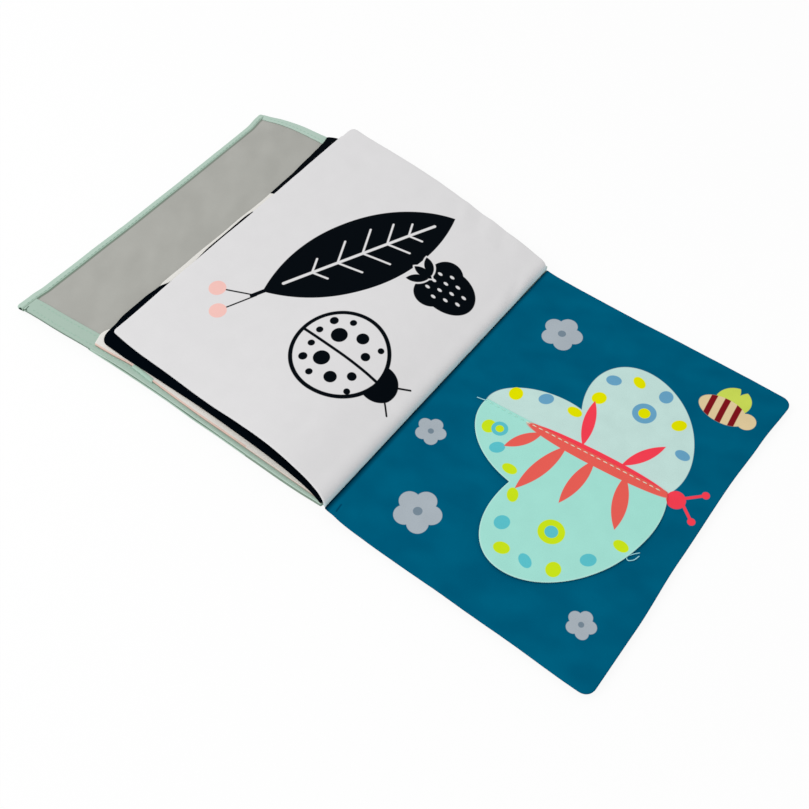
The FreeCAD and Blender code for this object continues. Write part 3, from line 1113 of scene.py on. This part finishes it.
def blue_print():
    """Deep blue, with a butterfly's far wings, flowers and a bee."""
    page = Cloth("blue_print", (0, 97, 129), unevenness=0.14, gloss=0.0)
    page.ink((0, 90, 122), page.streaks(36, 0.6, 20))
    # Painted shade: a dark band down the gutter, and a short dark stroke along the small fold by
    # the near end of the gutter.
    page.ink((0, 30, 50), page.side((1.7, 125), 0.4, 1.9))
    page.ink((0, 70, 102), page.stroke((6.8, 8.6), (7.4, 3.2), 0.9))
    for centre, size in (((40, 208), 14), ((17, 88), 10), ((46, 36), 15), ((166, 34), 9)):
        flower(page, centre, size, (172, 182, 190), (120, 138, 152))

    # the far wings, down to just under the flap
    far_wings = page.either(*[wing_mask(page, wing, 1) for wing in printed_wings])
    upper = page.side(from_seam(70, -3, 1), seam_turn - 90)
    page.ink((197, 227, 221), page.number("MINIMUM", far_wings, upper))
    rim_dots(page, printed_wings[0], 1, (55, 95, 135), (page_yellow, page_blue))
    rim_dots(page, printed_wings[1], 1, (-125, -92, -58, -22, 12, 44), (page_blue, page_yellow))
    eyespot(page, (92, 46), 1, 8, (page_blue, page_yellow))
    wing_cells(page, [((70, 2), (60, 38), 8), ((98, 2), (116, 30), 8)], 1, page_coral)
    butterfly_body(page, page_coral)

    # a bee past the wings
    bee, cream = Vector((160, 216)), (228, 206, 160)
    left_wing = page.petal(bee + Vector((-3, 12)), 22, 12, 70)
    right_wing = page.petal(bee + Vector((8, 12)), 20, 11, 100)
    page.ink((205, 222, 90), left_wing, right_wing)
    bee_body = page.ellipse(bee, (17, 10))
    page.ink(cream, bee_body, page.disc(bee + Vector((17, 1)), 6.5))
    bars = [page.box_shape(bee + Vector((step, 0)), (4, 30), 8) for step in (-9, 0, 9)]
    page.ink((130, 22, 30), page.number("MINIMUM", bee_body, page.either(*bars)))
    return page.finish()


page_folds = [
    ((6, 16), (8, -4), 0.8, 2.6), ((22, 60), (44, 50), 0.35, 3),
    ((30, 24), (138, 8), -0.7, 7), ((6, 194), (18, 158), -0.6, 5),
    ((150, 30), (182, 18), 0.5, 4), ((120, 226), (150, 240), 0.5, 5),
]


def page_wave(out, along):
    """The right page is pressed nearly flat: a very slight wave, and small folds at the gutter."""
    calm = np.clip((out - 10) / 40, 0, 1)
    low = 0.15 + waves(out, along, (60, 0.45, 9.1), (26, 0.3, 2.6))
    return creased(calm * low, out, along, page_folds)


right_reach = 193.0
right_surface = Surface(
    near_edge=[
        (0.5, 2, 4), (5.5, 1.5, 3.5), (17, 1, 1.5), (33, 0.5, 1), (97, -0.5, 1), (146, -1.1, 1),
        (180, -2, 1), (192.5, -2, 1),
    ],
    far_edge=[
        (0.5, 247.6, 4), (6, 247.2, 3.6), (19, 248.4, 1.5), (47, 248.6, 1), (107, 249.7, 1),
        (146, 250.6, 1), (190, 251, 1),
    ],
    reach=right_reach,
    fore_shifts=[(0, 0.2), (50, 0), (104, -2), (170, -3), (207, -2), (250, 0)],
    wave=page_wave,
)
dark_back = Cloth("dark_cotton", (26, 32, 44)).finish()
right_thickness = 1.7
right_pillow = 0.1
blue_page = panel(
    "blue_page", right_surface, sheet_corners(right_reach, spine_length), right_thickness,
    [blue_print(), dark_back], radii=(1, 7, 7, 1), pillow=right_pillow, pucker=0.12,
)
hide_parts("right_page")
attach(blue_page, "right_side")
report(blue_page)

# %% [markdown]
# ## The lift-up flap
# The flap is one cut piece of mint cloth in the shape of the near pair of wings.  It is sewn to
# the page along its straight edge and lies loose elsewhere.  Its outline is the two ellipses
# joined, which is worked out as the furthest reach of either from a point on the seam.  The cloth
# inside is filled with triangles, close together at the rim, where a grid of quads would leave a
# stepped edge.

# %% The outline of both wings
def wing_reach(wing, start, angles):
    """How far it is from a place inside a wing to its rim, at each angle."""
    centre, radii, turn = wing
    turn = math.radians(turn)
    unturn = np.array([[math.cos(turn), math.sin(turn)], [-math.sin(turn), math.cos(turn)]])
    squeeze = unturn / np.array(radii)[:, None]
    offset = squeeze @ (np.array(start) - centre)
    ahead = squeeze @ np.stack((np.cos(angles), np.sin(angles)))
    a = (ahead**2).sum(0)
    b = (ahead * offset[:, None]).sum(0)
    c = (offset**2).sum() - 1
    return (-b + np.sqrt(np.maximum(b**2 - a * c, 0))) / a


def signed_area(rim):
    """The area inside a closed line, less than 0 if it runs clockwise."""
    after = np.roll(rim, -1, axis=0)
    return np.sum(rim[:, 0] * after[:, 1] - after[:, 0] * rim[:, 1]) / 2


def flap_outline(start=(75, 0), count=330):
    """The flap's rim in seam distances: round the wings, and back along the seam."""
    angles = np.linspace(0, math.pi, count)
    reach = np.maximum.reduce([wing_reach(wing, start, angles) for wing in wings])
    wing_part = np.stack((start[0] + reach * np.cos(angles), reach * np.sin(angles)), axis=-1)
    seam = np.linspace(wing_part[-1], wing_part[0], 80)[1:-1]
    return np.concatenate((wing_part, seam))


flap_rim = flap_outline()
seam_reach = (flap_rim[:, 0].min(), flap_rim[0, 0])
print(f"the seam runs from {seam_reach[0]:.0f} to {seam_reach[1]:.0f} mm")

# %% Fill the outline with a mesh
def distance_to_rim(points, rim):
    """The least distance from each point to a closed line."""
    after = np.roll(rim, -1, axis=0)
    run = after - rim
    length = (run**2).sum(1)
    share = np.clip(((points[:, None] - rim) * run).sum(2) / length, 0, 1)
    nearest = rim + share[..., None] * run
    return np.sqrt(((points[:, None] - nearest) ** 2).sum(2)).min(1)


def fill_outline(rim, pitch=2.2):
    """Places and triangles that fill a closed line, with finer rows at the rim."""
    ahead = np.roll(rim, -1, axis=0) - np.roll(rim, 1, axis=0)
    inward = np.stack((-ahead[:, 1], ahead[:, 0]), axis=-1)
    inward /= np.linalg.norm(inward, axis=1, keepdims=True)
    inward *= np.sign(signed_area(rim))
    rows = [(rim + inward * step, step) for step in (0.12, 0.32, 0.8, 1.6)]
    (low_x, low_y), (high_x, high_y) = rim.min(0), rim.max(0)
    grid = np.meshgrid(np.arange(low_x, high_x, pitch), np.arange(low_y, high_y, pitch))
    rows.append((np.stack(grid, axis=-1).reshape(-1, 2), 2.6))
    kept = [places[distance_to_rim(places, rim) > 0.92 * step] for places, step in rows]
    points = np.concatenate((rim, *kept))
    loop = list(range(len(rim)))
    corners, _, faces, *_ = delaunay_2d_cdt([Vector(p) for p in points], [], [loop], 1, 1e-5)
    corners = np.array([tuple(corner) for corner in corners])
    room = distance_to_rim(corners, rim)
    on_rim = room < 1e-3
    faces = [tuple(face) for face in faces if not all(on_rim[corner] for corner in face)]
    used = np.unique(np.ravel(faces))
    fresh = np.full(len(corners), -1)
    fresh[used] = np.arange(len(used))
    faces = [tuple(int(fresh[corner]) for corner in face) for face in faces]
    return corners[used], faces, room[used], on_rim[used]


# %% Print and sew the flap
def flap_print():
    """Mint, with dots along the rim, eyespots and coral cells."""
    page = Cloth("flap_print", (182, 232, 221), unevenness=0.09)
    inner = [(centre, (radii[0] - 0.8, radii[1] - 0.8), turn) for centre, radii, turn in wings]
    notch = page.disc(from_seam(45.2, 42.6, -1), 4.2)
    page.ink((166, 228, 215), notch, *[wing_mask(page, wing, -1) for wing in inner])
    colours = (flap_yellow, flap_blue)
    rim_dots(page, wings[0], -1, (104, 129, 154), colours)
    rim_dots(page, wings[1], -1, (-104, -78, -52, -26, 0, 28, 58), colours)
    eyespot(page, (84, 64), -1, 8.5, colours)
    eyespot(page, (19, 16), -1, 5.5, colours[::-1])
    cells = [
        ((62, 4), (50, 50), 10), ((82, 4), (78, 44), 9), ((104, 4), (116, 42), 10),
        ((44, 4), (28, 26), 8),
    ]
    wing_cells(page, cells, -1, flap_coral)
    butterfly_body(page, flap_coral)
    return page.finish()


flap_thickness = 0.7
flap_gap = 0.1
flap_base = right_thickness / 2 + right_pillow + flap_gap
loose_past = 40
curl_reach = 18
flap_places, flap_faces, flap_room, flap_on_rim = fill_outline(flap_rim)
flap_pages = np.array([tuple(from_seam(*place, -1)) for place in flap_places])
flap_out, flap_along = flap_pages.T
loose = np.clip(flap_places[:, 1] / loose_past, 0, 1) ** 1.5
flutter = 0.6 + waves(flap_out, flap_along, (40, 0.6, 5.5))
curl = loose * flutter * np.exp(-flap_room / curl_reach)
flap_lift = flap_base + flap_thickness / 2 + np.maximum(curl, 0)
half = half_height(flap_room, flap_thickness)
flap_top, flap_bottom = (
    right_surface.lifted(flap_out, flap_along, flap_lift + side * half) for side in (1, -1)
)
flap = closed_cloth(
    "wing_flap", flap_top, flap_bottom, flap_faces, flap_on_rim, flap_pages, [flap_print()],
)
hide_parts("page_flap")
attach(flap, "right_side")
report(flap)

# %% Sew it down and leave the thread's ends
cream_thread = Cloth("cream_thread", (228, 226, 204), unevenness=0.1)
body_end = to_model((*from_seam(29, 2, -1), 0)) / mm
cream_thread.ink((178, 228, 214), cream_thread.side(body_end[:2], seam_turn))
cream_thread = cream_thread.finish(wrinkle=0.1)
pale_thread = Cloth("pale_thread", (160, 222, 230), unevenness=0.1).finish(wrinkle=0.1)
seam_line = [tuple(from_seam(along, 2.0, -1)) for along in (seam_reach[0] + 1, seam_reach[1] - 1)]
flap_stitches = stitch_row(
    "flap_stitches", right_surface, seam_line, flap_base + flap_thickness, cream_thread,
    pitch=4.7, share=0.66, width=0.75,
)


def loose_thread(name, pages, heights, width=0.7):
    """A loose end of thread that follows page places, at heights over the page."""
    points = [(*page, height) for page, height in zip(pages, heights)]
    places = right_surface.lifted(*curve_through(points, np.linspace(0, 1, 28)).T)
    work = bmesh.new()
    strand(work, places, np.full(len(places), width))
    return thread_piece(name, work, pale_thread)


tail_start = from_seam(seam_reach[0] + 1, 2, -1)
tail_places = [tail_start + Vector(step) for step in ((0, 0), (-3, -0.6), (-6.4, -1.2))]
thread_tail = loose_thread("thread_tail", tail_places, [1.9, 1.6, 1.3])
loop_places = [
    (170.6, 94.2), (167.4, 90.4), (165.4, 86.6), (166.7, 85.6), (169.8, 87.6), (171.4, 92.1),
]
thread_loop = loose_thread("thread_loop", loop_places, [1.3, 1.6, 1.5, 1.4, 1.6, 1.3])
for piece in (flap_stitches, thread_tail, thread_loop):
    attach(piece, "right_side")

# %% [markdown]
# ## Spine
# Between the covers the book's back is a strip of mint cloth.  While the book lies open it is
# folded into the gutter, and when a cover closes it opens out round the leaves.  Each strip is
# drawn folded, with rows close together.

# %% Two strips folded into the gutter
wrap_thickness = 0.5
wrap_width = 22
wrap_rows = np.concatenate((np.linspace(0, 1, 26), np.linspace(1.25, 3, 8)))
wrap_columns = np.linspace(4.5, spine_length - 3, 60)


def spine_strip(name, start, end):
    """A strip from a place by the right page to one by a cover, as (x, z) at rest.

    Past the end it runs on into the cover's own cloth, where it is sewn in.
    """
    share, along = np.meshgrid(wrap_rows, wrap_columns, indexing="ij")
    x = start[0] + (end[0] - start[0]) * share
    z = start[1] + (end[1] - start[1]) * np.minimum(share, 1)
    top = np.stack((x, along, z + wrap_thickness / 2), axis=-1)
    pages = np.stack((share * wrap_width, along), axis=-1)
    strip = grid_cloth(name, top, top - (0, 0, wrap_thickness), pages, [plain_mint])
    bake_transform(strip)
    return strip


spine_wrap = spine_strip("spine_wrap", (0.9, 2.7), (-0.9, 3.0))
front_wrap = spine_strip("front_spine_wrap", (0.9, 1.6), (-0.9, 1.0))
print(spine_wrap.name, front_wrap.name)

# %% The binding under the right page
tape_start = 0.6
tape_width = 8.4
tape_inset = 4
page_gap = 0.35
table_gap = 0.1


def spine_tape():
    """A folded tape that fills the wedge between the right page and the table."""
    across = rows_across(tape_width, 1.2) + tape_start
    lengthways = rows_across(spine_length - 2 * tape_inset, 4) + tape_inset
    out, along = np.meshgrid(across, lengthways, indexing="ij")
    top = right_surface.place(out, along) - (0, 0, right_thickness / 2 + page_gap)
    bottom = top.copy()
    bottom[..., 2] = table_gap
    return grid_cloth("spine_tape", top, bottom, np.stack((out, along), axis=-1), [plain_mint])


tape = spine_tape()
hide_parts("spine_binding")
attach(tape, "right_side")
report(tape)

# %% [markdown]
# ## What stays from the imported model
# Only the front cover's board stays as it was packed, inside its case.  It carries no page map, so
# its finish comes from object places.

# %% Finish for the board that stays
def pressed_board(colour=(196, 188, 172), pitch=1.2):
    """Pressed board with a fine grain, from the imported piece's own object places."""
    board = Shading(bpy.data.materials.new("pressed_board"))
    places = board.add("ShaderNodeTexCoord").outputs["Object"]
    inputs = {"Vector": places, "Scale": 1 / (pitch * mm)}
    grain = board.add("ShaderNodeTexNoise", inputs).outputs[0]
    darker = [level * 0.9 for level in colour]
    shader = board.add("ShaderNodeBsdfPrincipled", {
        "Roughness": 0.85,
        "Base Color": board.mix(screen_colour(*colour), screen_colour(*darker), grain),
        "Normal": board.bump(grain, 0.2, 0.2),
    })
    return board.end(shader)


board_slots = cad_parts["front_cover_board"].data.materials
board_slots.clear()
board_slots.append(pressed_board())
print("board:", board_slots[0].name)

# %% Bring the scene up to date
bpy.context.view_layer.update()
